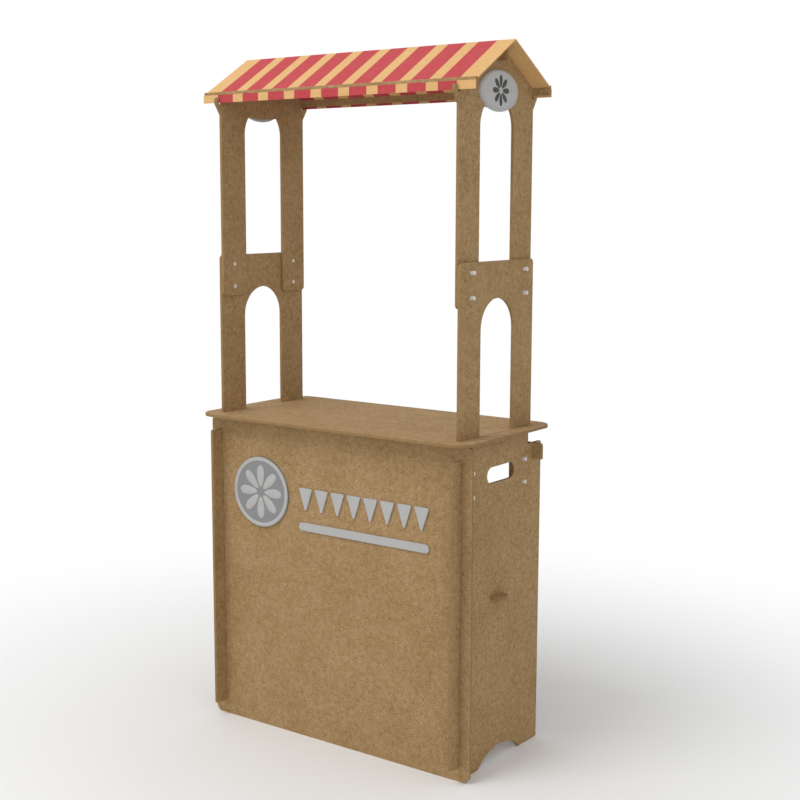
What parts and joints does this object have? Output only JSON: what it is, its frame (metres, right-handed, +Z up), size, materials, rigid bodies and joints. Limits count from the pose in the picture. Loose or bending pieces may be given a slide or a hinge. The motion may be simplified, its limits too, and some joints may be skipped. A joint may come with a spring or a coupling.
{
  "type": "roofed counter",
  "caption": "Free-standing counter of slotted board with a shelf, arched side frames and a small striped gable roof.",
  "frame": {"origin": "on the floor, midway between the side panels and under the roof ridge", "axes": "+X to the right seen from the customer's side, +Y to the back where the seller stands, +Z up"},
  "size_m": [1.02, 0.504, 2.1299],
  "materials": {
    "board": "bare fibre board, matt",
    "striped_sheet": "thin board with printed red and yellow stripes, satin",
    "grey_trim": "pale grey paint, satin",
    "peg": "pale, smooth"
  },
  "bodies": {
    "root": {"left_side_panel": "board", "right_side_panel": "board", "upper_front_panel": "board", "lower_front_panel": "board", "shelf": "board", "rear_rail": "board", "counter_top": "board", "left_arch_frame": "board", "right_arch_frame": "board", "left_gable_frame": "board", "right_gable_frame": "board", "ridge_beam": "board", "front_roof_sheet": "striped_sheet", "rear_roof_sheet": "striped_sheet", "front_eave_batten": "board", "rear_eave_batten": "board", "front_valance": "striped_sheet", "rear_valance": "striped_sheet", "left_gable_medallion": "grey_trim", "right_gable_medallion": "grey_trim", "front_medallion": "grey_trim", "pennant_row": "grey_trim", "trim_bar": "grey_trim", "left_base_pegs": "peg", "right_base_pegs": "peg", "left_frame_pegs": "peg", "right_frame_pegs": "peg"}
  },
  "joints": []
}
